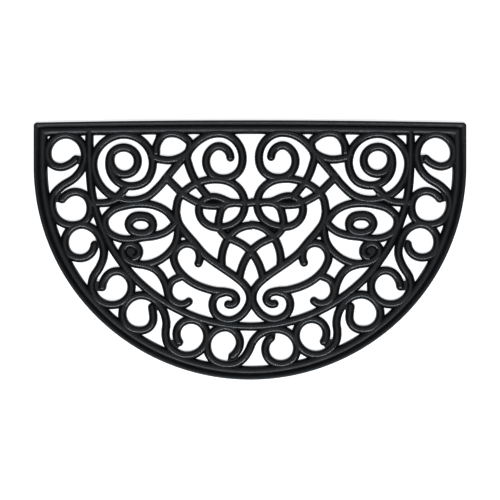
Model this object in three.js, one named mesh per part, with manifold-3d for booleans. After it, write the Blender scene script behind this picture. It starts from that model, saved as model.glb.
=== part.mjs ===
// A half-round doormat of black moulded rubber, openwork like a wrought-iron grille.
// Millimetres, +X to the right, +Y to the straight edge, +Z up.
// The origin is on the floor under the middle of the mat's length and width.
import * as THREE from "three";
import { mergeVertices } from "three/addons/utils/BufferGeometryUtils.js";
import Module from "manifold-3d";

const wasm = await Module();
wasm.setup();

// Plan of the mat
const matWidth = 762;
const matDepth = 457;
const edgeBow = 4;              // the straight edge stands this much prouder in its middle
const cornerRadius = 4;
const halfWidth = matWidth / 2;
const straightEdge = matDepth / 2;
const roundStart = 147.5;       // the straight sides run down to here, and the half ellipse begins
const roundDepth = roundStart + matDepth / 2;

// Heights over the floor
const crownHeight = 9;
const shoulderHeight = 5.5;
const beadHeight = 7;
const webHeight = 3.5;
const joinHeight = 6;

// Sections
const barWidth = 15;
const barDraft = 0.8;           // each side wall leans in by this much at the shoulder
const beadWidth = 8;
const grooveWidth = 1.5;
const grooveHeight = 4;
const rimWidth = 24.5;

// Facets of the curves
const facetDepth = 0.6;         // how far a bar's straight facets may cut inside its curve
const domeSides = 10;
const roundFacets = 32;
const edgeFacets = 6;
const smallestCorner = 0.5;
const mergeTolerance = 0.02;

// The scrollwork sits a little off the outline's own middle line, and leans;
// its right half also stands a little higher than its left half.
const middleShift = 2;
const middleLean = -0.004;
const partnerRise = 1.2;
const middle = (y) => middleShift + middleLean * y;

// The field's rail: straight down from the rim, then round a half circle
const railRadius = 282.5;
const railTop = 214;
const railKnots = 9;

// Bars of the border, from one hooked tip round both rings of the S to the other tip.
// Each table gives the centre line's knots in its columns x and y.
const sidePair = [
  {
    scroll: "upper side",
    x: [-307.5, -318, -334, -352, -357, -347, -326, -303, -291, -296, -309,
      -333, -346, -349, -337, -313, -289, -281, -289, -308, -322, -331],
    y: [159.5, 151, 146, 154, 173, 194, 203.5, 195, 171, 144, 127,
      111.5, 97, 76, 52, 43.5, 52, 73, 95, 102.5, 98, 89.5],
  },
  {
    scroll: "lower side",
    x: [-274, -278, -287, -300, -319, -326.5, -318, -298, -275, -262, -257.5, -265.5,
      -276, -278.5, -266, -241, -218, -208.7, -216, -236, -247, -256, -260.5],
    y: [9, -3, -11.5, -14.5, -7, 13, 35, 44.5, 36, 16, -8, -31,
      -47.5, -68, -89, -97, -87, -66, -46, -37.3, -41, -51, -65.5],
  },
  {
    scroll: "round of the mat",
    x: [-172.5, -171, -170.5, -177, -196, -216, -225, -216, -196, -172, -154, -147.3,
      -149, -146, -132, -108, -85, -75.5, -84, -105, -123, -129.5, -124.8],
    y: [-101, -112, -123, -136, -142, -134, -113, -91, -80, -85.5, -105, -128,
      -148, -163, -179.5, -186, -175, -153, -131, -123, -131, -148, -162.5],
  },
];
const middleScroll = {
  scroll: "bottom, the only one without a mirrored partner",
  x: [-31, -22, -17.7, -23, -38, -58, -73, -75.5, -66, -46, -24, -8,
    -1.5, 5.5, 15, 33, 52, 72, 83, 77, 56, 36, 27, 31, 37],
  y: [-187, -177, -164, -147.5, -137, -140, -155, -174, -193, -202, -200, -187,
    -176, -160.5, -150, -141.5, -140, -149, -170, -191, -201.3, -195, -177, -161, -155],
};

// Bars of the field's left half, each with a mirrored partner on the right
const fieldBars = [
  {
    bar: "big spiral in the upper corner",
    x: [-245.5, -239, -222, -202, -198, -208, -225, -243, -248, -240, -224, -205, -185, -173, -173,
      -190, -222, -255, -275.5, -271, -257, -240, -222, -204, -182, -160, -142, -124, -107],
    y: [157, 141, 133, 143, 160, 176, 180.5, 171, 150, 127, 115, 112.5, 120, 140, 166,
      192, 203.5, 192, 160, 127, 106, 94, 88.5, 87.5, 93.5, 112, 134, 155.5, 175],
  },
  {
    bar: "top scroll, which the spiral runs into",
    x: [-107, -89.5, -66, -42, -22, -13, -21, -43, -66, -77.5, -72, -56, -40, -34.5],
    y: [175, 193.5, 204.5, 203.5, 188.5, 163.5, 137, 126, 132, 155, 173, 183, 176, 163],
    freeEnd: true,
  },
  {
    bar: "leaf, upper side",
    x: [-165.5, -161.5, -152, -135, -116.5, -105.5, -108, -111, -108, -101.5, -95.5, -87.5, -76, -69],
    y: [172, 191.5, 202.5, 205.8, 199, 187, 174, 163, 150, 132, 121, 110.5, 97, 90],
    freeStart: true,
  },
  {
    bar: "leaf, lower side",
    x: [-176, -166, -152, -139, -126, -113.5, -103],
    y: [168, 162, 158.7, 158.3, 161.5, 167.5, 178],
  },
  {
    bar: "tie from the spiral to the rail",
    x: [-222, -236, -250, -264, -280],
    y: [100, 89, 83.5, 82.5, 82],
  },
  {
    bar: "tie under the spiral",
    x: [-216, -222, -232, -243],
    y: [113.5, 106.5, 95.5, 87],
  },
  {
    bar: "loop beside the middle",
    x: [-130, -129.5, -126, -117, -105, -92, -76, -58, -40, -24, -14, -9.5, -13,
      -27, -48, -70, -85, -90, -89, -84, -73, -60, -48, -36, -24, 3],
    y: [56, 74, 90, 102, 111.5, 118.5, 123, 124.3, 121.5, 112.5, 100, 84, 63,
      47.5, 40, 42, 54, 68, 78, 86, 92.5, 93.2, 89.5, 84.3, 82.8, 83.3],
  },
  {
    bar: "diagonal and lower side of the lens",
    x: [-152, -130, -120, -101, -84, -66, -50, -38, -28],
    y: [132, 110, 100, 88, 80.5, 78, 79, 81.5, 83],
  },
  {
    bar: "bar that crosses its partner in the middle",
    x: [-42, -50, -53.5, -55.5, -54, -46, -38, -28, -16, -6, 2, 8, 15.5, 20, 23],
    y: [80, 72, 61, 49, 39, 28, 21.5, 17, 11.5, 4.5, -3, -11, -24.5, -37, -50],
  },
  {
    bar: "half of the arch",
    x: [4, -12, -22, -32, -40, -46, -49.3, -50, -49],
    y: [43.3, 41, 36.5, 28.5, 18, 5, -8, -18, -30],
  },
  {
    bar: "heart line and its ring",
    x: [-129.5, -125.5, -116, -99, -80.5, -64, -45.7, -27, -11, -1.5,
      0.2, -6, -18, -35, -52, -64, -66, -60, -50, -40],
    y: [64, 47, 33, 13.5, -8, -21, -33.5, -46.5, -60, -75,
      -88, -104, -117, -124, -120, -107, -93, -81, -76, -74],
  },
  {
    bar: "comma and the curl inside the ring",
    x: [-91, -88.5, -92.5, -105, -119, -131, -134.5, -130, -119, -101, -81, -60,
      -40, -28, -24.3, -29, -38.5],
    y: [-23.5, -11, 2, 10.3, 9.5, -1, -14, -29, -44, -58, -67, -72.3,
      -74.2, -79, -88, -95, -96],
    freeStart: true,
    freeEnd: true,
  },
  {
    bar: "open hook under the comma",
    x: [-116, -127, -137, -143.3, -142.5, -133, -119, -108],
    y: [-46, -49, -54.5, -67, -80, -92, -96, -91],
    freeEnd: true,
  },
  {
    bar: "tie from the small spiral to the hook",
    x: [-194, -181, -168, -157, -149.5, -145, -142.5],
    y: [-25.5, -28, -33.5, -44, -58, -74, -86],
  },
  {
    bar: "small spiral",
    x: [-127, -127.3, -131, -141, -157, -175, -194, -211, -222, -224, -215, -203, -195.5, -198, -206],
    y: [42, 26, 12, -3, -16.5, -24, -25.5, -20.5, -11, 1, 9.5, 8.5, -1, -11, -15],
  },
  {
    bar: "almond",
    x: [-129, -135, -147, -165, -190, -218, -243, -256, -252.5, -237, -215, -190, -165, -148, -137, -130],
    y: [44, 54, 68, 77.5, 81.5, 78.5, 69.5, 53, 35, 23, 18.5, 22, 25.5, 32, 41, 49],
  },
  {
    bar: "ring in the almond",
    x: [-176, -190, -205, -214, -209, -190, -176, -170.8, -176, -190, -205],
    y: [33, 28.5, 32.5, 45, 56, 60.5, 56, 45, 33, 28.5, 32.5],
  },
];

// Low webs of rubber between bars, as corners of a flat plate
const webs = [
  { web: "sliver under the tie", x: [-253, -226, -240], y: [78, 86, 74] },
  { web: "lens", x: [-84, -72, -60, -46, -66], y: [82, 90, 92, 82, 78] },
  { web: "eye of the small spiral", x: [-224, -209, -196, -209], y: [-4, 10, -4, -18] },
  { web: "wedge beside the arch", x: [-52, -26, -42], y: [40, 40, 24] },
  { web: "wedge above the comma, upper part", x: [-123, -127, -110], y: [34, 21.2, 21.2] },
  { web: "wedge above the comma, lower part", x: [-127, -127, -106, -108], y: [17.6, 7, 10, 17.6] },
  { web: "corner beside the leaf", x: [-165.5, -156, -168], y: [205.5, 205.5, 190] },
];

// The tip of each border scroll turns back into the bar beside it. These plates fill the joint to
// just over the bars' shoulders.
const tipJoins = [
  { tip: "upper side, first", x: [-308, -296, -296, -308], y: [167, 165.5, 149, 152.5] },
  { tip: "upper side, last", x: [-331, -343, -342, -335.5, -330], y: [82, 85, 95, 102.5, 98] },
  { tip: "lower side, first", x: [-275, -264, -262, -272], y: [16.5, 17.5, 3.5, 3.5] },
  { tip: "lower side, last", x: [-260, -271.5, -274, -270.5, -264], y: [-73, -72, -60, -55, -55] },
  { tip: "round of the mat, first", x: [-174, -164, -160, -166], y: [-96, -98, -106.5, -106.5] },
  { tip: "round of the mat, last", x: [-124, -128, -138, -142, -133], y: [-170, -174, -167, -158, -158] },
];
const loneJoins = [
  { tip: "bottom, first", x: [-38.5, -40, -22, -20, -30], y: [-187, -197, -197, -188.5, -185] },
  { tip: "bottom, last", x: [44.5, 45.3, 27, 26.8], y: [-155, -146, -146, -153] },
  { tip: "ring in the right corner", x: [351, 361, 361], y: [204, 204, 194] },
];

// Turns a closed three.js geometry into a solid that can be joined and cut.
// Points are rounded to a micrometre, so stretches of a bar meet exactly.
function solid(geometry) {
  const bare = geometry.index ? geometry.toNonIndexed() : geometry;
  bare.deleteAttribute("normal");
  bare.deleteAttribute("uv");
  const places = bare.attributes.position.array;
  places.forEach((value, i) => {
    places[i] = Math.round(value * 1000) / 1000;
  });
  const merged = mergeVertices(bare, 1e-4);
  const corners = merged.index.array;
  const kept = [];
  for (let i = 0; i < corners.length; i += 3) {
    const [a, b, c] = corners.slice(i, i + 3);
    if (a !== b && b !== c && c !== a) {
      kept.push(a, b, c);
    }
  }
  return new wasm.Manifold(new wasm.Mesh({
    numProp: 3,
    vertProperties: merged.attributes.position.array,
    triVerts: Uint32Array.from(kept),
  }));
}

// A smooth line through knots: each arc is a cubic as round as its end directions ask.
class KnotLine extends THREE.Curve {
  constructor(knots, directions) {
    super();
    this.arcs = knots.slice(1).map((end, i) => {
      const start = knots[i];
      const chord = end.clone().sub(start);
      const along = chord.clone().normalize();
      const bend = (directions[i].dot(along) + directions[i + 1].dot(along)) / 2;
      const arm = (chord.length() * 2) / 3 / (1 + bend);
      return new THREE.CubicBezierCurve3(
        start,
        start.clone().addScaledVector(directions[i], arm),
        end.clone().addScaledVector(directions[i + 1], -arm),
        end,
      );
    });
  }

  locate(t) {
    const place = t * this.arcs.length;
    const i = Math.min(Math.floor(place), this.arcs.length - 1);
    return [this.arcs[i], place - i];
  }

  getPoint(t, target = new THREE.Vector3()) {
    const [arc, u] = this.locate(t);
    return arc.getPoint(u, target);
  }

  getTangent(t, target = new THREE.Vector3()) {
    const [{ v0, v1, v2, v3 }, u] = this.locate(t);
    const w = 1 - u;
    target.set(0, 0, 0);
    target.addScaledVector(v1.clone().sub(v0), w * w);
    target.addScaledVector(v2.clone().sub(v1), 2 * w * u);
    target.addScaledVector(v3.clone().sub(v2), u * u);
    return target.normalize();
  }
}

// The direction at each knot is that of the circle through it and its two neighbours.
function directionsAt(knots) {
  const chords = knots.slice(1).map((end, i) => end.clone().sub(knots[i]));
  const inner = chords.slice(1).map((after, i) => {
    const before = chords[i];
    const mean = before.clone().setLength(after.length());
    return mean.add(after.clone().setLength(before.length())).normalize();
  });
  const mirrorIn = (direction, chord) => {
    const along = chord.clone().normalize();
    return along.multiplyScalar(2 * along.dot(direction)).sub(direction);
  };
  return [
    mirrorIn(inner[0], chords[0]),
    ...inner,
    mirrorIn(inner[inner.length - 1], chords[chords.length - 1]),
  ];
}

const knotsOf = ({ x, y }, place = (px, py) => [px, py]) =>
  x.map((px, i) => new THREE.Vector3(...place(px, y[i]), 0));
const mirrored = (x, y) => [2 * middle(y) - x, y + partnerRise];

// A bar's section, standing on the floor: its height runs along -x, its width along y.
const half = barWidth / 2;
const barSection = new THREE.Shape([
  new THREE.Vector2(0, -half),
  new THREE.Vector2(-shoulderHeight, -half + barDraft),
  new THREE.Vector2(-crownHeight, 0),
  new THREE.Vector2(-shoulderHeight, half - barDraft),
  new THREE.Vector2(0, half),
]);

// Straight facets that a curve needs: the tighter it turns, the shorter they are.
function facetsOf(line, directions) {
  const turns = directions.slice(1).map((direction, i) => direction.angleTo(directions[i]));
  const turn = turns.reduce((sum, angle) => sum + angle, 0);
  return Math.max(1, Math.round(Math.sqrt((line.getLength() * turn) / (8 * facetDepth))));
}

// Sweeps the section along the knots, a few arcs at a time, so no stretch meets itself.
const arcsInOneStretch = 3;
function sweep(knots) {
  const directions = directionsAt(knots);
  const stretches = [];
  for (let i = 0; i < knots.length - 1; i += arcsInOneStretch) {
    const end = Math.min(i + arcsInOneStretch, knots.length - 1) + 1;
    const heads = directions.slice(i, end);
    const line = new KnotLine(knots.slice(i, end), heads);
    const steps = facetsOf(line, heads);
    const geometry = new THREE.ExtrudeGeometry(barSection, { steps, bevelEnabled: false, extrudePath: line });
    stretches.push(solid(geometry));
  }
  return stretches;
}

// The bullnose of a free end: the bar's section turned about its middle
function dome(at) {
  const profile = [
    new THREE.Vector2(0, 0),
    new THREE.Vector2(half, 0),
    new THREE.Vector2(half - barDraft, shoulderHeight),
    new THREE.Vector2(0, crownHeight),
  ];
  const geometry = new THREE.LatheGeometry(profile, domeSides);
  geometry.rotateX(Math.PI / 2);
  geometry.translate(at.x, at.y, 0);
  return solid(geometry);
}

function bar(knots, { freeStart = false, freeEnd = false } = {}) {
  const pieces = sweep(knots);
  if (freeStart) {
    pieces.push(dome(knots[0]));
  }
  if (freeEnd) {
    pieces.push(dome(knots[knots.length - 1]));
  }
  return pieces;
}

// The mat's outline, moved in by an inset: half an ellipse, two short sides and the bowed edge
function outline(inset) {
  const side = halfWidth - inset;
  const depth = roundDepth - inset;
  const edge = straightEdge - inset;
  const corner = Math.max(cornerRadius - inset, smallestCorner);
  const points = [];
  for (let i = 0; i <= roundFacets; i += 1) {
    const angle = Math.PI * (1 + i / roundFacets);
    points.push(new THREE.Vector2(side * Math.cos(angle), roundStart + depth * Math.sin(angle)));
  }
  points.push(new THREE.Vector2(side, edge - edgeBow - corner));
  for (let i = 0; i <= edgeFacets; i += 1) {
    const across = 1 - (2 * i) / edgeFacets;
    points.push(new THREE.Vector2((side - corner) * across, edge - edgeBow * across * across));
  }
  points.push(new THREE.Vector2(-side, edge - edgeBow - corner));
  return new THREE.Shape(points);
}

// Everything above the floor
const sky = (() => {
  const box = new THREE.BoxGeometry(2 * matWidth, 2 * matDepth, 2 * crownHeight);
  box.translate(0, 0, crownHeight);
  return solid(box);
})();

// A band that follows the outline, with upright sides and edges rounded over
function band({ from, to, height, round }) {
  const shape = outline(from + round);
  shape.holes.push(outline(to - round));
  const geometry = new THREE.ExtrudeGeometry(shape, {
    depth: height,
    bevelSize: round,
    bevelThickness: round,
    bevelSegments: 1,
  });
  geometry.translate(0, 0, -round);
  return solid(geometry).intersect(sky);
}

// A flat plate between bars, from its corners
function plate({ x, y }, height, place) {
  const shape = new THREE.Shape(knotsOf({ x, y }, place).map((p) => new THREE.Vector2(p.x, p.y)));
  return solid(new THREE.ExtrudeGeometry(shape, { depth: height, bevelEnabled: false }));
}

const asDrawn = (x, y) => [x, y];
const sides = [asDrawn, mirrored];

// The rim's three bands, from the outline inwards
const rimBands = [
  { band: "outer bead", from: 0, to: beadWidth, height: beadHeight, round: 2.5 },
  { band: "floor of the groove", from: beadWidth - 1, to: rimWidth - 1, height: grooveHeight, round: 0.5 },
  { band: "inner bar", from: beadWidth + grooveWidth, to: rimWidth, height: crownHeight, round: 4 },
];

function rail() {
  const turn = Math.PI / (railKnots - 1);
  const knots = [new THREE.Vector3(-railRadius, railTop, 0)];
  for (let i = 0; i < railKnots; i += 1) {
    const angle = Math.PI + i * turn;
    knots.push(new THREE.Vector3(railRadius * Math.cos(angle), roundStart + railRadius * Math.sin(angle), 0));
  }
  knots.push(new THREE.Vector3(railRadius, railTop, 0));
  return bar(knots);
}

function border() {
  const bothEnds = { freeStart: true, freeEnd: true };
  const pairs = sides.flatMap((place) => sidePair.flatMap((row) => bar(knotsOf(row, place), bothEnds)));
  return [...pairs, ...bar(knotsOf(middleScroll), bothEnds)];
}

function field() {
  return sides.flatMap((place) => fieldBars.flatMap((row) => bar(knotsOf(row, place), row)));
}

function plates() {
  const pairs = sides.flatMap((place) => [
    ...webs.map((row) => plate(row, webHeight, place)),
    ...tipJoins.map((row) => plate(row, joinHeight, place)),
  ]);
  return [...pairs, ...loneJoins.map((row) => plate(row, joinHeight))];
}

function joined() {
  const rim = rimBands.map(band);
  const whole = wasm.Manifold.union([...rim, ...rail(), ...border(), ...field(), ...plates()]);
  return whole.asOriginal().simplify(mergeTolerance);
}

function meshOf(body) {
  const { vertProperties, triVerts } = body.getMesh();
  const geometry = new THREE.BufferGeometry();
  geometry.setAttribute("position", new THREE.BufferAttribute(vertProperties, 3));
  geometry.setIndex(new THREE.BufferAttribute(triVerts, 1));
  geometry.computeVertexNormals();
  return geometry;
}

const rubber = new THREE.MeshStandardMaterial({ color: 0x26282a, roughness: 0.62, metalness: 0 });
const mat = new THREE.Mesh(meshOf(joined()), rubber);
mat.name = "mat";

const group = new THREE.Group();
group.add(mat);
export default group;
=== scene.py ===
# %% [markdown]
# # A half-round rubber doormat
# The real mat is one piece of black rubber, pressed in a mould into scrollwork bars inside a grooved
# rim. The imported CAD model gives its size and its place. This lesson makes the same mat again with
# round-shouldered bars, gives it the finish of moulded rubber, and sets it on a pale floor.

# %% The fixed frame
import math

import bmesh
import bpy
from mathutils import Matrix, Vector


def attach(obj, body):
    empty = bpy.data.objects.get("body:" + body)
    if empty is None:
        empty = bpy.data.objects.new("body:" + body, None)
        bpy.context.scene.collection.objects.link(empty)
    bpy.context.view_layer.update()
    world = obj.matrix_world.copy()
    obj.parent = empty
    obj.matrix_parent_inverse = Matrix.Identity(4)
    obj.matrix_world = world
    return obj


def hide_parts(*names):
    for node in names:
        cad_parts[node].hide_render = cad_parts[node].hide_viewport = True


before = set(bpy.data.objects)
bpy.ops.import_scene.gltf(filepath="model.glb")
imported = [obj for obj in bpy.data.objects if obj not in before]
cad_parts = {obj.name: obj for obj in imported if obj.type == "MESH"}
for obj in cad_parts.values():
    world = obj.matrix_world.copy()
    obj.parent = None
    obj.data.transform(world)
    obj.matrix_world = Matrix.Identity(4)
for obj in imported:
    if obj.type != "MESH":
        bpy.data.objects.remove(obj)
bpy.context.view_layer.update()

# %% [markdown]
# ## Sizes
# A mould maker would start from the outline and the bar. Everything is in millimetres here, as on a
# drawing, and becomes metres when a point goes into a mesh. The bar stands 9 mm high and 15.6 mm wide,
# with steep walls so that the rubber leaves the mould, and a rounded crown that feels soft underfoot.

# %% Sizes of the mat
MM = 0.001
MAT_WIDTH = 762.0
MAT_DEPTH = 457.0
EDGE_BOW = 4.0          # how far the middle of the straight edge stands out past its ends
CORNER_RADIUS = 4.0
ROUND_START = 147.5     # y where the straight sides end and the half circle begins
ROUND_DEPTH = ROUND_START + MAT_DEPTH / 2
RAIL_RADIUS = 282.5
RAIL_TOP = 214.0        # y where the rail meets the rim of the straight edge
CROWN_HEIGHT = 9.0
BEAD_HEIGHT = 7.0
GROOVE_HEIGHT = 4.0
WEB_HEIGHT = 3.5
JOIN_HEIGHT = 6.0
MIDDLE_SHIFT = 2.0      # x of the line that the bars are mirrored about, at y = 0
MIDDLE_LEAN = -0.004    # how that line's x changes with y
PARTNER_RISE = 1.2      # a mirrored bar lies this much further up in y than its partner
print("mat", MAT_WIDTH, "by", MAT_DEPTH, "by", CROWN_HEIGHT, "mm")

# %% [markdown]
# ## The pattern
# The scrolls are drawn the way a smith would set them out: each bar is one line through a few knots
# on its middle. A row gives the knots in its columns x and y. Nearly every bar has a partner on the
# other side of the mat, so only the left half is written down, and a free end is marked, because it
# gets a rounded nose.

# %% Bars of the border, between the rim and the rail
BORDER_PAIRS = [
    {
        "scroll": "upper side",
        "x": [-307.5, -318, -334, -352, -357, -347, -326, -303, -291, -296, -309,
              -333, -346, -349, -337, -313, -289, -281, -289, -308, -322, -331],
        "y": [159.5, 151, 146, 154, 173, 194, 203.5, 195, 171, 144, 127,
              111.5, 97, 76, 52, 43.5, 52, 73, 95, 102.5, 98, 89.5],
    },
    {
        "scroll": "lower side",
        "x": [-274, -278, -287, -300, -319, -326.5, -318, -298, -275, -262, -257.5, -265.5,
              -276, -278.5, -266, -241, -218, -208.7, -216, -236, -247, -256, -260.5],
        "y": [9, -3, -11.5, -14.5, -7, 13, 35, 44.5, 36, 16, -8, -31,
              -47.5, -68, -89, -97, -87, -66, -46, -37.3, -41, -51, -65.5],
    },
    {
        "scroll": "round of the mat",
        "x": [-172.5, -171, -170.5, -177, -196, -216, -225, -216, -196, -172, -154, -147.3,
              -149, -146, -132, -108, -85, -75.5, -84, -105, -123, -129.5, -124.8],
        "y": [-101, -112, -123, -136, -142, -134, -113, -91, -80, -85.5, -105, -128,
              -148, -163, -179.5, -186, -175, -153, -131, -123, -131, -148, -162.5],
    },
]
MIDDLE_SCROLL = {
    "scroll": "bottom, the only one without a mirrored partner",
    "x": [-31, -22, -17.7, -23, -38, -58, -73, -75.5, -66, -46, -24, -8,
          -1.5, 5.5, 15, 33, 52, 72, 83, 77, 56, 36, 27, 31, 37],
    "y": [-187, -177, -164, -147.5, -137, -140, -155, -174, -193, -202, -200, -187,
          -176, -160.5, -150, -141.5, -140, -149, -170, -191, -201.3, -195, -177, -161, -155],
}
print(2 * len(BORDER_PAIRS) + 1, "scrolls in the border")

# %% Bars of the field's left half
FIELD_BARS = [
    {
        "bar": "big spiral in the upper corner",
        "x": [-243, -246, -239, -222, -202, -198, -208, -225, -243, -248, -240, -224, -205, -185, -173, -173,
              -190, -222, -255, -275.5, -271, -257, -240, -222, -204, -182, -160, -142, -124, -107],
        "y": [171, 157.5, 141, 133, 143, 160, 176, 180.5, 171, 150, 127, 115, 112.5, 120, 140, 166,
              192, 203.5, 192, 160, 127, 106, 94, 88.5, 87.5, 93.5, 112, 134, 155.5, 175],
    },
    {
        "bar": "top scroll, which the spiral runs into",
        "x": [-107, -89.5, -66, -42, -22, -13, -21, -43, -66, -77.5, -72, -56, -40, -34.5],
        "y": [175, 193.5, 204.5, 203.5, 188.5, 163.5, 137, 126, 132, 155, 173, 183, 176, 163],
        "free_end": True,
    },
    {
        "bar": "leaf, upper side",
        "x": [-165.5, -161.5, -152, -135, -116.5, -105.5, -108, -111, -108, -101.5, -95.5, -87.5, -76, -69],
        "y": [172, 191.5, 202.5, 205.8, 199, 187, 174, 163, 150, 132, 121, 110.5, 97, 90],
        "free_start": True,
    },
    {
        "bar": "leaf, lower side",
        "x": [-176, -166, -152, -139, -126, -114, -107],
        "y": [168, 162, 158.7, 158.3, 161.5, 168, 175.5],
    },
    {
        "bar": "tie from the spiral to the rail",
        "x": [-222, -236, -250, -264, -280],
        "y": [100, 89, 83.5, 82.5, 82],
    },
    {
        "bar": "tie under the spiral",
        "x": [-216, -222, -232, -243],
        "y": [113.5, 106.5, 95.5, 87],
    },
    {
        "bar": "loop beside the middle",
        "x": [-130, -129.5, -126, -117, -105, -92, -76, -58, -40, -24, -14, -9.5, -13,
              -27, -48, -70, -85, -90, -89, -84, -73, -60, -48, -36, -24, 3],
        "y": [56, 74, 90, 102, 111.5, 118.5, 123, 124.3, 121.5, 112.5, 100, 84, 63,
              47.5, 40, 42, 54, 68, 78, 86, 92.5, 93.2, 89.5, 84.3, 82.8, 83.3],
    },
    {
        "bar": "diagonal and lower side of the lens",
        "x": [-152, -130, -120, -101, -84, -66, -50, -38, -28],
        "y": [132, 110, 100, 88, 80.5, 78, 79, 81.5, 83],
    },
    {
        "bar": "bar that crosses its partner in the middle",
        "x": [-42, -50, -53.5, -55.5, -54, -46, -38, -28, -16, -6, 2, 8, 15.5, 20, 23],
        "y": [80, 72, 61, 49, 39, 28, 21.5, 17, 11.5, 4.5, -3, -11, -24.5, -37, -50],
    },
    {
        "bar": "half of the arch",
        "x": [4, -12, -22, -32, -40, -46, -49.3, -50, -49],
        "y": [43.3, 41, 36.5, 28.5, 18, 5, -8, -18, -30],
    },
    {
        "bar": "heart line and its ring",
        "x": [-129.5, -125.5, -116, -99, -80.5, -64, -45.7, -27, -11, -1.5,
              0.2, -6, -18, -35, -52, -64, -66, -60, -50, -40],
        "y": [64, 47, 33, 13.5, -8, -21, -33.5, -46.5, -60, -75,
              -88, -104, -117, -124, -120, -107, -93, -81, -76, -74],
    },
    {
        "bar": "comma and the curl inside the ring",
        "x": [-91, -88.5, -92.5, -105, -119, -131, -134.5, -130, -119, -101, -81, -60,
              -40, -28, -24.3, -29, -38.5],
        "y": [-23.5, -11, 2, 10.3, 9.5, -1, -14, -29, -44, -58, -67, -72.3,
              -74.2, -79, -88, -95, -96],
        "free_start": True,
        "free_end": True,
    },
    {
        "bar": "open hook under the comma",
        "x": [-116, -127, -137, -143.3, -142.5, -133, -119, -108],
        "y": [-46, -49, -54.5, -67, -80, -92, -96, -91],
        "free_end": True,
    },
    {
        "bar": "tie from the small spiral to the hook",
        "x": [-194, -181, -168, -157, -149.5, -145, -142.5],
        "y": [-25.5, -28, -33.5, -44, -58, -74, -86],
    },
    {
        "bar": "small spiral",
        "x": [-127, -127.3, -131, -141, -157, -175, -194, -211, -222, -224, -215, -203, -195.5, -198, -206],
        "y": [42, 26, 12, -3, -16.5, -24, -25.5, -20.5, -11, 1, 9.5, 8.5, -1, -11, -15],
    },
    {
        "bar": "almond",
        "x": [-129, -135, -147, -165, -190, -218, -243, -256,
              -252.5, -237, -215, -190, -165, -148, -137, -130],
        "y": [44, 54, 68, 77.5, 81.5, 78.5, 69.5, 53, 35, 23, 18.5, 22, 25.5, 32, 41, 49],
    },
    {
        "bar": "ring in the almond",
        "x": [-176, -190, -205, -214, -209, -190, -176, -170.8, -176, -190, -205],
        "y": [33, 28.5, 32.5, 45, 56, 60.5, 56, 45, 33, 28.5, 32.5],
    },
    {
        "bar": "inner side of that ring, which is thicker than a bar",
        "x": [-171.4, -177.5, -192.3, -207.1, -213.2, -207.1, -192.3, -177.5, -171.4, -177.5, -192.3],
        "y": [43.7, 54, 58.2, 54, 43.7, 33.4, 29.2, 33.4, 43.7, 54, 58.2],
    },
]
print(2 * len(FIELD_BARS), "bars in the field")

# %% Low webs of rubber between bars
WEBS = [
    {"web": "sliver under the tie", "x": [-253, -226, -240], "y": [78, 86, 74]},
    {"web": "lens", "x": [-84, -72, -60, -46, -66], "y": [82, 90, 92, 82, 78]},
    {"web": "eye of the small spiral", "x": [-224, -209, -196, -209], "y": [-4, 10, -4, -18]},
    {"web": "wedge beside the arch", "x": [-52, -26, -42], "y": [40, 40, 24]},
    {"web": "wedge above the comma, upper part", "x": [-123, -127, -110], "y": [34, 21.2, 21.2]},
    {"web": "wedge above the comma, lower part", "x": [-127, -127, -106, -108], "y": [17.6, 7, 10, 17.6]},
    {"web": "corner beside the leaf", "x": [-165.5, -156, -168], "y": [205.5, 205.5, 190]},
]
print(2 * len(WEBS), "webs")

# %% Joints where the tip of a border scroll turns back into the bar beside it
TIP_JOINS = [
    {"tip": "upper side, first", "x": [-308, -296, -296, -308], "y": [167, 165.5, 149, 152.5]},
    {"tip": "upper side, last", "x": [-331, -343, -342, -335.5, -330], "y": [82, 85, 95, 102.5, 98]},
    {"tip": "lower side, first", "x": [-275, -264, -262, -272], "y": [16.5, 17.5, 3.5, 3.5]},
    {"tip": "lower side, last", "x": [-260, -271.5, -274, -270.5, -264], "y": [-73, -72, -60, -55, -55]},
    {"tip": "round of the mat, first", "x": [-174, -164, -160, -166], "y": [-96, -98, -106.5, -106.5]},
    {
        "tip": "round of the mat, last",
        "x": [-124, -128, -138, -142, -133],
        "y": [-170, -174, -167, -158, -158],
    },
]
LONE_JOINS = [
    {"tip": "bottom, first", "x": [-38.5, -40, -22, -20, -30], "y": [-187, -197, -197, -188.5, -185]},
    {"tip": "bottom, last", "x": [44.5, 45.3, 27, 26.8], "y": [-155, -146, -146, -153]},
    {"tip": "ring in the right corner", "x": [351, 361, 361], "y": [204, 204, 194]},
]


# %% Knots of a row, as drawn or mirrored
def as_drawn(x, y):
    return Vector((x, y, 0))


def mirrored(x, y):
    middle = MIDDLE_SHIFT + MIDDLE_LEAN * y
    return Vector((2 * middle - x, y + PARTNER_RISE, 0))


def knots_of(row, place=as_drawn):
    return [place(x, y) for x, y in zip(row["x"], row["y"])]


# %% [markdown]
# ## A smooth line through the knots
# A curve object could carry the bars, but a line of our own says where every section stands, which the
# joints between stretches need. Each arc between two knots is a cubic whose arms follow the circle
# through neighbouring knots, so rings come out round from few knots.

# %% Smooth line
def directions_at(knots):
    chords = [b - a for a, b in zip(knots, knots[1:])]
    inner = [
        (before * after.length / before.length + after * before.length / after.length).normalized()
        for before, after in zip(chords, chords[1:])
    ]
    first = inner[0].reflect(chords[0].normalized()) * -1
    last = inner[-1].reflect(chords[-1].normalized()) * -1
    return [first, *inner, last]


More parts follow.
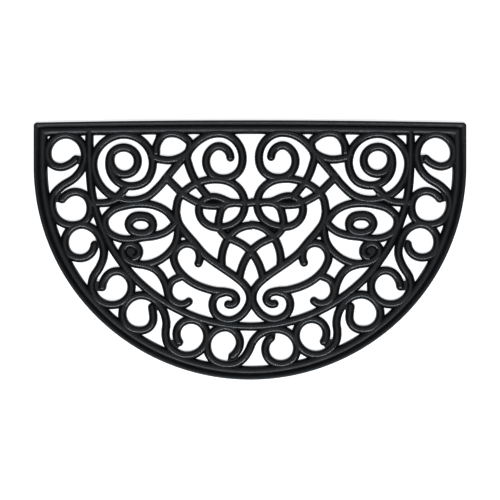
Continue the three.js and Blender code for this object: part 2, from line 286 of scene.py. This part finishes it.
def arc_points(start, end, heading, leaving, steps):
    """Points and directions along one arc, from its start up to but not at its end"""
    chord = end - start
    along = chord.normalized()
    arm = chord.length * 2 / 3 / (1 + (heading.dot(along) + leaving.dot(along)) / 2)
    near, far = start + heading * arm, end - leaving * arm
    for i in range(steps):
        u = i / steps
        w = 1 - u
        point = start * w**3 + near * (3 * w * w * u) + far * (3 * w * u * u) + end * u**3
        tangent = (near - start) * w * w + (far - near) * (2 * w * u) + (end - far) * u * u
        yield point, tangent.normalized()


# %% Stations along a line
STATION_STEP = 8.0      # mm along a gently curved bar
STATION_TURN = math.radians(9)


def stations_of(knots):
    """Places and directions where a bar's section stands, close together where it bends"""
    heads = directions_at(knots)
    stations = []
    for start, end, heading, leaving in zip(knots, knots[1:], heads, heads[1:]):
        by_turn = heading.angle(leaving) / STATION_TURN
        by_length = (end - start).length / STATION_STEP
        steps = max(1, math.ceil(max(by_turn, by_length)))
        stations += list(arc_points(start, end, heading, leaving, steps))
    return stations + [(knots[-1], heads[-1])]


print(len(stations_of(knots_of(MIDDLE_SCROLL))), "stations in the middle scroll")

# %% [markdown]
# ## The bar's section
# The photograph shows steep dark walls and a crown that catches a soft line of light. The wall leans
# in a little, as the draft of a mould does, and turns over into an arched crown.

# %% Section of a bar, across and up, in millimetres
HALF_SECTION = [(7.8, 0.0), (7.7, 2.2), (7.4, 4.1), (6.7, 5.7), (5.4, 7.1), (3.6, 8.2), (1.7, 8.8)]
BAR_SECTION = [*HALF_SECTION, (0.0, CROWN_HEIGHT), *[(-across, up) for across, up in reversed(HALF_SECTION)]]
print(len(BAR_SECTION), "points in the section")


# %% [markdown]
# ## Sweeping a bar
# A ring of vertices is placed on the section at the first station. The edges of that ring are then
# extruded from station to station, and the new ring is put in place each time, so the walls are clean
# quads. A line that bends round on itself would cut through itself, so each bar is swept in stretches
# that turn less than half a circle, and neighbouring stretches share the same ring exactly.

# %% Sweep
LARGEST_TURN = math.radians(150)
MERGE_DISTANCE = 0.001  # mm; vertices closer than this are one


def rings_of(mesh, corners, count):
    """Makes a ring of vertices and extrudes it on, so that the caller can place each ring in turn"""
    order = mesh.verts.layers.int.new("order in the ring")
    ring = bmesh.ops.create_circle(mesh, segments=corners, radius=1)["verts"]
    for i, vert in enumerate(ring):
        vert[order] = i
    edges = list(mesh.edges)
    for i in range(count):
        if i > 0:
            made = bmesh.ops.extrude_edge_only(mesh, edges=edges)["geom"]
            ring = [item for item in made if isinstance(item, bmesh.types.BMVert)]
            fresh = set(ring)
            made_edges = [item for item in made if isinstance(item, bmesh.types.BMEdge)]
            edges = [edge for edge in made_edges if set(edge.verts) <= fresh]
        yield i, [(vert[order], vert) for vert in ring]


def sweep(stations, section, name):
    mesh = bmesh.new()
    for i, ring in rings_of(mesh, len(section), len(stations)):
        point, tangent = stations[i]
        left = Vector((-tangent.y, tangent.x, 0))
        for k, vert in ring:
            across, up = section[k]
            vert.co = (point + left * across + Vector((0, 0, up))) * MM
    return object_of(mesh, name)


def object_of(mesh, name):
    """Closes a bmesh, turns its faces outwards and makes an object of it"""
    bmesh.ops.remove_doubles(mesh, verts=mesh.verts, dist=MERGE_DISTANCE * MM)
    bmesh.ops.holes_fill(mesh, edges=mesh.edges, sides=0)
    bmesh.ops.recalc_face_normals(mesh, faces=mesh.faces)
    data = bpy.data.meshes.new(name)
    mesh.to_mesh(data)
    mesh.free()
    return bpy.data.objects.new(name, data)


# %% Stretches of a bar
def stretches_of(stations):
    """Cuts the stations where the line has turned far enough, each cut in both stretches"""
    stretch, turned = [stations[0]], 0
    for before, after in zip(stations, stations[1:]):
        turned += before[1].angle(after[1])
        stretch.append(after)
        if turned > LARGEST_TURN:
            yield stretch
            stretch, turned = [after], 0
    if len(stretch) > 1:
        yield stretch


# %% Nose of a free end
NOSE_STEPS = 12


def nose(station, name):
    """Half the section, turned once round the end of the bar"""
    point, _ = station
    mesh = bmesh.new()
    half = [*HALF_SECTION, (0.0, CROWN_HEIGHT)]
    verts = [mesh.verts.new(Vector((across, 0, up)) * MM) for across, up in half]
    edges = [mesh.edges.new(pair) for pair in zip(verts, verts[1:])]
    bmesh.ops.spin(
        mesh, geom=[*verts, *edges], cent=(0, 0, 0), axis=(0, 0, 1),
        angle=2 * math.pi, steps=2 * NOSE_STEPS, use_merge=True,
    )
    bmesh.ops.translate(mesh, verts=mesh.verts, vec=point * MM)
    return object_of(mesh, name)


def bar(row, place=as_drawn, name="bar"):
    stations = stations_of(knots_of(row, place))
    pieces = []
    for i, stretch in enumerate(stretches_of(stations)):
        pieces.append(sweep(stretch, BAR_SECTION, f"{name}_{i}"))
    if row.get("free_start"):
        pieces.append(nose(stations[0], f"{name}_first_nose"))
    if row.get("free_end"):
        pieces.append(nose(stations[-1], f"{name}_last_nose"))
    return pieces


# %% Border and field
solids = []
for place, side in ((as_drawn, "left"), (mirrored, "right")):
    for i, row in enumerate(BORDER_PAIRS):
        solids += bar(row | {"free_start": True, "free_end": True}, place, f"border_{side}_{i}")
    for i, row in enumerate(FIELD_BARS):
        solids += bar(row, place, f"field_{side}_{i}")
solids += bar(MIDDLE_SCROLL | {"free_start": True, "free_end": True}, name="border_middle")
print(len(solids), "stretches and noses")

# %% [markdown]
# ## The rail and the rim
# The rail is the same bar, down from the rim on each side and round a half circle. The rim is one
# band with a section of its own: a low bead outside, a groove, and a bar inside. It follows the
# outline all the way round, so its rings are the outline moved inwards, one for each point of the
# section, and the corners are mitred as on a frame.

# %% Rail
RAIL_KNOTS = 25


def rail_row():
    angles = [math.pi * (1 + i / (RAIL_KNOTS - 1)) for i in range(RAIL_KNOTS)]
    x = [-RAIL_RADIUS, *[RAIL_RADIUS * math.cos(a) for a in angles], RAIL_RADIUS]
    y = [RAIL_TOP, *[ROUND_START + RAIL_RADIUS * math.sin(a) for a in angles], RAIL_TOP]
    return {"x": x, "y": y}


solids += bar(rail_row(), name="rail")
print("rail of radius", RAIL_RADIUS, "mm")

# %% Outline, moved in by an inset
ROUND_STEPS = 160
EDGE_STEPS = 60
SMALLEST_CORNER = 0.5


def outline(inset):
    side = MAT_WIDTH / 2 - inset
    edge = MAT_DEPTH / 2 - inset
    corner = max(CORNER_RADIUS - inset, SMALLEST_CORNER)
    points = []
    for i in range(ROUND_STEPS + 1):
        angle = math.pi * (1 + i / ROUND_STEPS)
        points.append((side * math.cos(angle), ROUND_START + (ROUND_DEPTH - inset) * math.sin(angle)))
    points.append((side, edge - EDGE_BOW - corner))
    for i in range(EDGE_STEPS + 1):
        across = 1 - 2 * i / EDGE_STEPS
        points.append(((side - corner) * across, edge - EDGE_BOW * across * across))
    points.append((-side, edge - EDGE_BOW - corner))
    return points


print(len(outline(0)), "points in the outline")

# %% Section of the rim, as pairs: distance in from the outline, and height, in millimetres
RIM_SECTION = [
    (0.0, 0.0), (0.05, 4.2), (0.4, 6.0), (1.1, 6.8), (2.2, BEAD_HEIGHT), (3.6, BEAD_HEIGHT),
    (4.8, 6.7), (6.0, 6.1), (7.2, 5.3), (8.4, 4.6), (9.0, GROOVE_HEIGHT), (9.6, 4.8),
    (10.4, 6.5), (11.3, 7.8), (12.5, 8.5), (14.0, 8.9), (15.6, CROWN_HEIGHT), (17.0, 8.8),
    (18.6, 8.2), (20.2, 7.4), (21.8, 6.3), (23.2, 4.6), (24.2, 2.4), (24.5, 0.0),
]


def rim():
    mesh = bmesh.new()
    for i, ring in rings_of(mesh, len(outline(0)), len(RIM_SECTION)):
        inset, height = RIM_SECTION[i]
        places = outline(inset)
        for k, vert in ring:
            vert.co = Vector((*places[k], height)) * MM
    open_edges = [edge for edge in mesh.edges if edge.is_boundary]
    bmesh.ops.bridge_loops(mesh, edges=open_edges)
    return object_of(mesh, "rim")


solids.append(rim())
print("rim", RIM_SECTION[-1][0], "mm wide")


# %% [markdown]
# ## Webs and joints
# In the narrow wedges between bars the mould leaves a thin skin of rubber, so the wedge is closed but
# lies low. Where a scroll's tip meets the bar beside it, the rubber reaches to over their shoulders.
# Each is a flat face, drawn up to its thickness.

# %% Plates
def plate(row, height, place, name):
    mesh = bmesh.new()
    face = mesh.faces.new([mesh.verts.new(knot * MM) for knot in knots_of(row, place)])
    made = bmesh.ops.extrude_face_region(mesh, geom=[face], use_keep_orig=True)["geom"]
    top = [item for item in made if isinstance(item, bmesh.types.BMVert)]
    bmesh.ops.translate(mesh, verts=top, vec=(0, 0, height * MM))
    return object_of(mesh, name)


for place, side in ((as_drawn, "left"), (mirrored, "right")):
    solids += [plate(row, WEB_HEIGHT, place, f"web_{side}_{i}") for i, row in enumerate(WEBS)]
    solids += [plate(row, JOIN_HEIGHT, place, f"join_{side}_{i}") for i, row in enumerate(TIP_JOINS)]
solids += [plate(row, JOIN_HEIGHT, as_drawn, f"join_lone_{i}") for i, row in enumerate(LONE_JOINS)]
print(len(solids), "solids to join")

# %% [markdown]
# ## One piece of rubber
# So far the stretches only touch or overlap. A Boolean modifier joins them into one skin, so the
# creases where bars meet are real edges, as the mould cuts them. The Manifold solver takes the whole
# collection at once and is quick. It has a cost here: where two stretches of a bar share a ring, it
# leaves some faces back to back inside the bar. They don't show, but a cleaner mesh would need the
# stretches of each bar joined before the union.

# %% Join
operands = bpy.data.collections.new("stretches")
bpy.context.scene.collection.children.link(operands)
for solid in solids[:-1]:
    operands.objects.link(solid)
moulded = solids[-1]
moulded.name = "moulded_mat"
bpy.context.scene.collection.objects.link(moulded)
union = moulded.modifiers.new("union", "BOOLEAN")
union.operation = "UNION"
union.operand_type = "COLLECTION"
union.collection = operands
union.solver = "MANIFOLD"
joined = bpy.data.meshes.new_from_object(moulded.evaluated_get(bpy.context.evaluated_depsgraph_get()))
moulded.modifiers.clear()
moulded.data = joined
for solid in solids[:-1]:
    bpy.data.objects.remove(solid)
bpy.data.collections.remove(operands)
print(len(joined.vertices), "vertices,", len(joined.polygons), "faces")

# %% [markdown]
# ## Cleaning the skin
# Where two walls run almost along each other, a union leaves specks thinner than a hair beside the
# mat. Only the one large shell is rubber, so the specks are deleted, and edges with no length go too.
# The bars' crowns are smooth, and the creases between them stay sharp, which an angle can tell apart.

# %% Clean
SMOOTH_ANGLE = math.radians(32)
SHORTEST_EDGE = 0.001   # mm; a shorter one is taken out, with the faces that lose their area by it
ON_THE_FLOOR = 0.01     # mm; a face whose middle is lower than this lies on the floor


def shell_from(start):
    """All the vertices that edges join to the first one"""
    shell, waiting = {start}, [start]
    while waiting:
        vert = waiting.pop()
        fresh = {edge.other_vert(vert) for edge in vert.link_edges} - shell
        shell |= fresh
        waiting += fresh
    return shell


def keep_largest_shell(mesh):
    left, shells = set(mesh.verts), []
    while left:
        shell = shell_from(next(iter(left)))
        left -= shell
        shells.append(shell)
    shells.sort(key=len)
    specks = [vert for shell in shells[:-1] for vert in shell]
    bmesh.ops.delete(mesh, geom=specks, context="VERTS")
    return len(shells) - 1


skin = bmesh.new()
skin.from_mesh(moulded.data)
print(keep_largest_shell(skin), "specks deleted")
bmesh.ops.dissolve_degenerate(skin, dist=SHORTEST_EDGE * MM, edges=skin.edges)
volume = skin.calc_volume()
surface = sum(face.calc_area() for face in skin.faces)
floor_faces = [face for face in skin.faces if face.calc_center_median().z < ON_THE_FLOOR * MM]
underside = sum(face.calc_area() for face in floor_faces)
skin.to_mesh(moulded.data)
skin.free()
moulded.data.shade_smooth()
moulded.data.set_sharp_from_angle(angle=SMOOTH_ANGLE)
print(f"{volume * 1e6:.0f} cm3 of rubber")
print(f"{surface * 1e4:.0f} cm2 of skin, {underside * 1e4:.0f} cm2 of it on the floor")

# %% [markdown]
# ## Moulded rubber
# Filled black rubber takes the skin of its mould: satin and nearly black. Its colour carries painted shade
# by height: black down the walls, where shade falls, and charcoal on the crowns. Patches of dust make it a
# little greyer. Its gloss is uneven, because the compound flows and cools unevenly, and that is what breaks
# the light along each bar. Shoes polish the bars, while the rim keeps the duller skin of the mould.

# %% Colours and nodes
def linear(hex_colour):
    """An sRGB hex value as linear red, green, blue and alpha"""
    channels = [int(hex_colour[i:i + 2], 16) / 255 for i in (1, 3, 5)]
    return (*[c / 12.92 if c <= 0.04045 else ((c + 0.055) / 1.055) ** 2.4 for c in channels], 1)


def add_node(tree, kind, settings, inputs):
    """Adds a node, gives it its settings, and sets or links its inputs"""
    node = tree.nodes.new(kind)
    for name, value in settings.items():
        setattr(node, name, value)
    for socket, value in inputs.items():
        if isinstance(value, bpy.types.NodeSocket):
            tree.links.new(value, node.inputs[socket])
        else:
            node.inputs[socket].default_value = value
    return node


# The wall colour is painted shade: the walls are painted darker than the crowns towards the floor
WALL_SHADE_BLACK = "#060607"
CROWN_BLACK = "#141517"
DUST_GREY = "#242526"
RUBBER_IOR = 1.52
POLISHED = 0.22         # roughness of the bars, where the skin is glossiest
SATIN = 0.36            # and where it is dullest
RIM_DULLNESS = 0.14     # what the rim adds to that
MOST_DUST = 0.4         # share of grey in the dustiest patches
print("rubber", CROWN_BLACK, "on the crowns,", WALL_SHADE_BLACK, "down the walls")

# %% Where the colour and the gloss change, in millimetres
# Painted shade by height: wall black below the first height, crown charcoal above the second
SHADE_UP_TO, SHADE_GONE_FROM = 3.0, 8.6               # height
ROUND_RIM_FROM, ROUND_RIM_FULL = 357.0, 361.0   # distance from the middle of the half circle
EDGE_RIM_FROM, EDGE_RIM_FULL = 206.0, 209.0     # distance towards the straight edge
print("black up to", SHADE_UP_TO, "mm, and charcoal from", SHADE_GONE_FROM, "mm")

# %% Patterns in the skin, in millimetres
FLOW_SIZE = 9.0         # the waves that the cooling rubber leaves
PIT_SIZE = 2.2          # the real pits are under 1 mm, and are drawn coarser here so that they show
BLOOM_SIZE = 60.0       # patches of dust and bloom
PATTERNS = {"flow": (FLOW_SIZE, 3.0), "pits": (PIT_SIZE, 2.0), "bloom": (BLOOM_SIZE, 4.0)}
NOISE_ROUGHNESS = 0.55
FLOW_LOW, FLOW_HIGH = 0.3, 0.7      # values of the flow noise that are polished and satin
DUST_LOW, DUST_HIGH = 0.45, 0.75    # values of the bloom noise where dust begins and is thickest
WAVE_STRENGTH, WAVE_DEPTH = 0.35, 0.6
PIT_STRENGTH, PIT_DEPTH = 0.12, 0.2
print("patterns", PATTERNS)


# %% Moulded black rubber
def moulded_black_rubber():
    material = bpy.data.materials.new("moulded_black_rubber")
    material.use_nodes = True
    tree = material.node_tree
    shader = tree.nodes["Principled BSDF"]
    place = add_node(tree, "ShaderNodeTexCoord", {}, {}).outputs["Object"]
    axes = add_node(tree, "ShaderNodeSeparateXYZ", {}, {"Vector": place}).outputs
    noise = {
        name: add_node(
            tree, "ShaderNodeTexNoise", {"label": name},
            {"Vector": place, "Scale": 1 / (size * MM), "Detail": detail, "Roughness": NOISE_ROUGHNESS},
        ).outputs["Fac"]
        for name, (size, detail) in PATTERNS.items()
    }

    # Colour: painted shade, black down the walls and charcoal on the crowns, and patches of dust
    crown = add_node(
        tree, "ShaderNodeMapRange", {},
        {"Value": axes["Z"], "From Min": SHADE_UP_TO * MM, "From Max": SHADE_GONE_FROM * MM},
    ).outputs["Result"]
    rubber = add_node(
        tree, "ShaderNodeMix", {"data_type": "RGBA"},
        {0: crown, 6: linear(WALL_SHADE_BLACK), 7: linear(CROWN_BLACK)},
    ).outputs[2]
    dusty = add_node(
        tree, "ShaderNodeMapRange", {},
        {"Value": noise["bloom"], "From Min": DUST_LOW, "From Max": DUST_HIGH, "To Max": MOST_DUST},
    ).outputs["Result"]
    colour = add_node(
        tree, "ShaderNodeMix", {"data_type": "RGBA"},
        {0: dusty, 6: rubber, 7: linear(DUST_GREY)},
    ).outputs[2]

    # Gloss: uneven over the bars, and duller on the round rim and along the straight edge
    from_centre = add_node(
        tree, "ShaderNodeVectorMath", {"operation": "DISTANCE"},
        {0: place, 1: (0, ROUND_START * MM, 0)},
    ).outputs["Value"]
    round_rim = add_node(
        tree, "ShaderNodeMapRange", {},
        {"Value": from_centre, "From Min": ROUND_RIM_FROM * MM, "From Max": ROUND_RIM_FULL * MM},
    ).outputs["Result"]
    straight_rim = add_node(
        tree, "ShaderNodeMapRange", {},
        {"Value": axes["Y"], "From Min": EDGE_RIM_FROM * MM, "From Max": EDGE_RIM_FULL * MM},
    ).outputs["Result"]
    on_rim = add_node(
        tree, "ShaderNodeMath", {"operation": "MAXIMUM"}, {0: round_rim, 1: straight_rim},
    ).outputs["Value"]
    polish = add_node(
        tree, "ShaderNodeMapRange", {},
        {
            "Value": noise["flow"], "From Min": FLOW_LOW, "From Max": FLOW_HIGH,
            "To Min": POLISHED, "To Max": SATIN,
        },
    ).outputs["Result"]
    gloss = add_node(
        tree, "ShaderNodeMath", {"operation": "MULTIPLY_ADD"}, {0: on_rim, 1: RIM_DULLNESS, 2: polish},
    ).outputs["Value"]

    # Relief: shallow waves, with fine pits on them
    waves = add_node(
        tree, "ShaderNodeBump", {},
        {"Strength": WAVE_STRENGTH, "Distance": WAVE_DEPTH * MM, "Height": noise["flow"]},
    ).outputs["Normal"]
    skin_normal = add_node(
        tree, "ShaderNodeBump", {},
        {
            "Strength": PIT_STRENGTH, "Distance": PIT_DEPTH * MM,
            "Height": noise["pits"], "Normal": waves,
        },
    ).outputs["Normal"]
    tree.links.new(colour, shader.inputs["Base Color"])
    tree.links.new(gloss, shader.inputs["Roughness"])
    tree.links.new(skin_normal, shader.inputs["Normal"])
    shader.inputs["IOR"].default_value = RUBBER_IOR
    return material


moulded.data.materials.clear()
moulded.data.materials.append(moulded_black_rubber())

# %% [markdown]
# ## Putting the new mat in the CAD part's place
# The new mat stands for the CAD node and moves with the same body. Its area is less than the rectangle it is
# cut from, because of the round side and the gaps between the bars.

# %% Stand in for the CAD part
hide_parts("mat")
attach(moulded, "root")

# %% [markdown]
# ## Floor and light
# The photograph is taken from straight above, on a ground that has gone quite white, as on a light
# table. So the floor here is a sheet of opal acrylic, lit from above and a little from below. A wide
# soft panel overhead gives the crowns their grey and leaves a faint shadow on the round side. A long
# narrow panel on the round side draws a thin line of light along each bar, and a weak one, low on the
# door side, lifts the walls that the narrow one leaves dark.

# %% Floor
FLOOR_SIZE = 40.0       # m
FLOOR_GLOW = 0.52       # strength of the light from below
FLOOR_ROUGHNESS = 0.9
FLOOR_SHADES = ("#F6F6F6", "#FBFBFB")
CLOUD_SIZE = 0.3        # m, the size of the patches of the two shades
CLOUD_DETAIL = 2.0
WHITE = "#FFFFFF"


def opal_white_acrylic():
    material = bpy.data.materials.new("opal_white_acrylic")
    material.use_nodes = True
    tree = material.node_tree
    shader = tree.nodes["Principled BSDF"]
    place = add_node(tree, "ShaderNodeTexCoord", {}, {}).outputs["Object"]
    cloud = add_node(
        tree, "ShaderNodeTexNoise", {"label": "cloud"},
        {"Vector": place, "Scale": 1 / CLOUD_SIZE, "Detail": CLOUD_DETAIL},
    ).outputs["Fac"]
    shade = add_node(
        tree, "ShaderNodeMix", {"data_type": "RGBA"},
        {0: cloud, 6: linear(FLOOR_SHADES[0]), 7: linear(FLOOR_SHADES[1])},
    ).outputs[2]
    tree.links.new(shade, shader.inputs["Base Color"])
    shader.inputs["Roughness"].default_value = FLOOR_ROUGHNESS
    shader.inputs["Emission Color"].default_value = linear(WHITE)
    shader.inputs["Emission Strength"].default_value = FLOOR_GLOW
    return material


board = bmesh.new()
bmesh.ops.create_grid(board, x_segments=1, y_segments=1, size=FLOOR_SIZE / 2)
floor_data = bpy.data.meshes.new("floor")
board.to_mesh(floor_data)
board.free()
floor = bpy.data.objects.new("floor", floor_data)
floor_data.materials.append(opal_white_acrylic())
bpy.context.scene.collection.objects.link(floor)
print("floor", FLOOR_SIZE, "m across")

# %% Lights
DAYLIGHT = "#F3F9FF"    # a little blue, as the greys of the photograph are


def panel(name, turn, rise, distance, size, radiance):
    """A soft rectangular light that faces the mat; turn is from the round side, rise from the floor"""
    turn, rise = math.radians(turn), math.radians(rise)
    flat = math.cos(rise)
    place = Vector((math.sin(turn) * flat, -math.cos(turn) * flat, math.sin(rise))) * distance
    data = bpy.data.lights.new(name, "AREA")
    data.shape = "RECTANGLE"
    data.size, data.size_y = size
    data.energy = radiance * math.pi * size[0] * size[1]
    data.color = linear(DAYLIGHT)[:3]
    light = bpy.data.objects.new(name, data)
    light.location = place
    light.rotation_euler = (-place).to_track_quat("-Z", "Y").to_euler()
    bpy.context.scene.collection.objects.link(light)
    print(name, f"{data.energy:.0f} W")


panel("overhead_panel", turn=185, rise=78, distance=3.0, size=(3.4, 2.6), radiance=0.62)
panel("round_side_panel", turn=0, rise=56, distance=4.0, size=(5.0, 0.3), radiance=25.0)
panel("door_side_panel", turn=180, rise=32, distance=4.0, size=(5.0, 0.8), radiance=0.5)

# %% [markdown]
# ## Room and tones
# The room is dark, so that the walls of the bars stay black, but a camera that looks past the floor
# sees it pale. The tones are developed plainly, with a little contrast, as a photograph for a shop is.

# %% Room and tones
ROOM_GLOW = 0.05        # what falls on the mat
ROOM_SEEN = 0.9         # what a camera sees past the floor
world = bpy.data.worlds.new("dim_room")
world.use_nodes = True
tree = world.node_tree
seen = add_node(tree, "ShaderNodeLightPath", {}, {}).outputs["Is Camera Ray"]
strength = add_node(
    tree, "ShaderNodeMapRange", {}, {"Value": seen, "To Min": ROOM_GLOW, "To Max": ROOM_SEEN},
).outputs["Result"]
tree.nodes["Background"].inputs["Color"].default_value = linear(WHITE)
tree.links.new(strength, tree.nodes["Background"].inputs["Strength"])
bpy.context.scene.world = world
bpy.context.scene.view_settings.view_transform = "Standard"
bpy.context.scene.view_settings.look = "Medium High Contrast"

# %% [markdown]
# ## Camera
# The camera hangs over the middle of the mat and looks straight down. Its height follows from its lens
# and from the scale of the photograph, in which one pixel covers 1.76 mm of the mat.

# %% Camera
PICTURE_PIXELS = 500
MM_IN_A_PIXEL = 1.76
LENS = 85.0             # mm
SENSOR = 36.0           # mm
view_width = PICTURE_PIXELS * MM_IN_A_PIXEL * MM
camera_data = bpy.data.cameras.new("camera_overhead")
camera_data.lens = LENS
camera_data.sensor_width = SENSOR
camera = bpy.data.objects.new("camera_overhead", camera_data)
camera.location = (0, 0, view_width * LENS / SENSOR + CROWN_HEIGHT * MM / 2)
bpy.context.scene.collection.objects.link(camera)
bpy.context.scene.camera = camera
print(f"camera {camera.location.z:.2f} m above the floor")
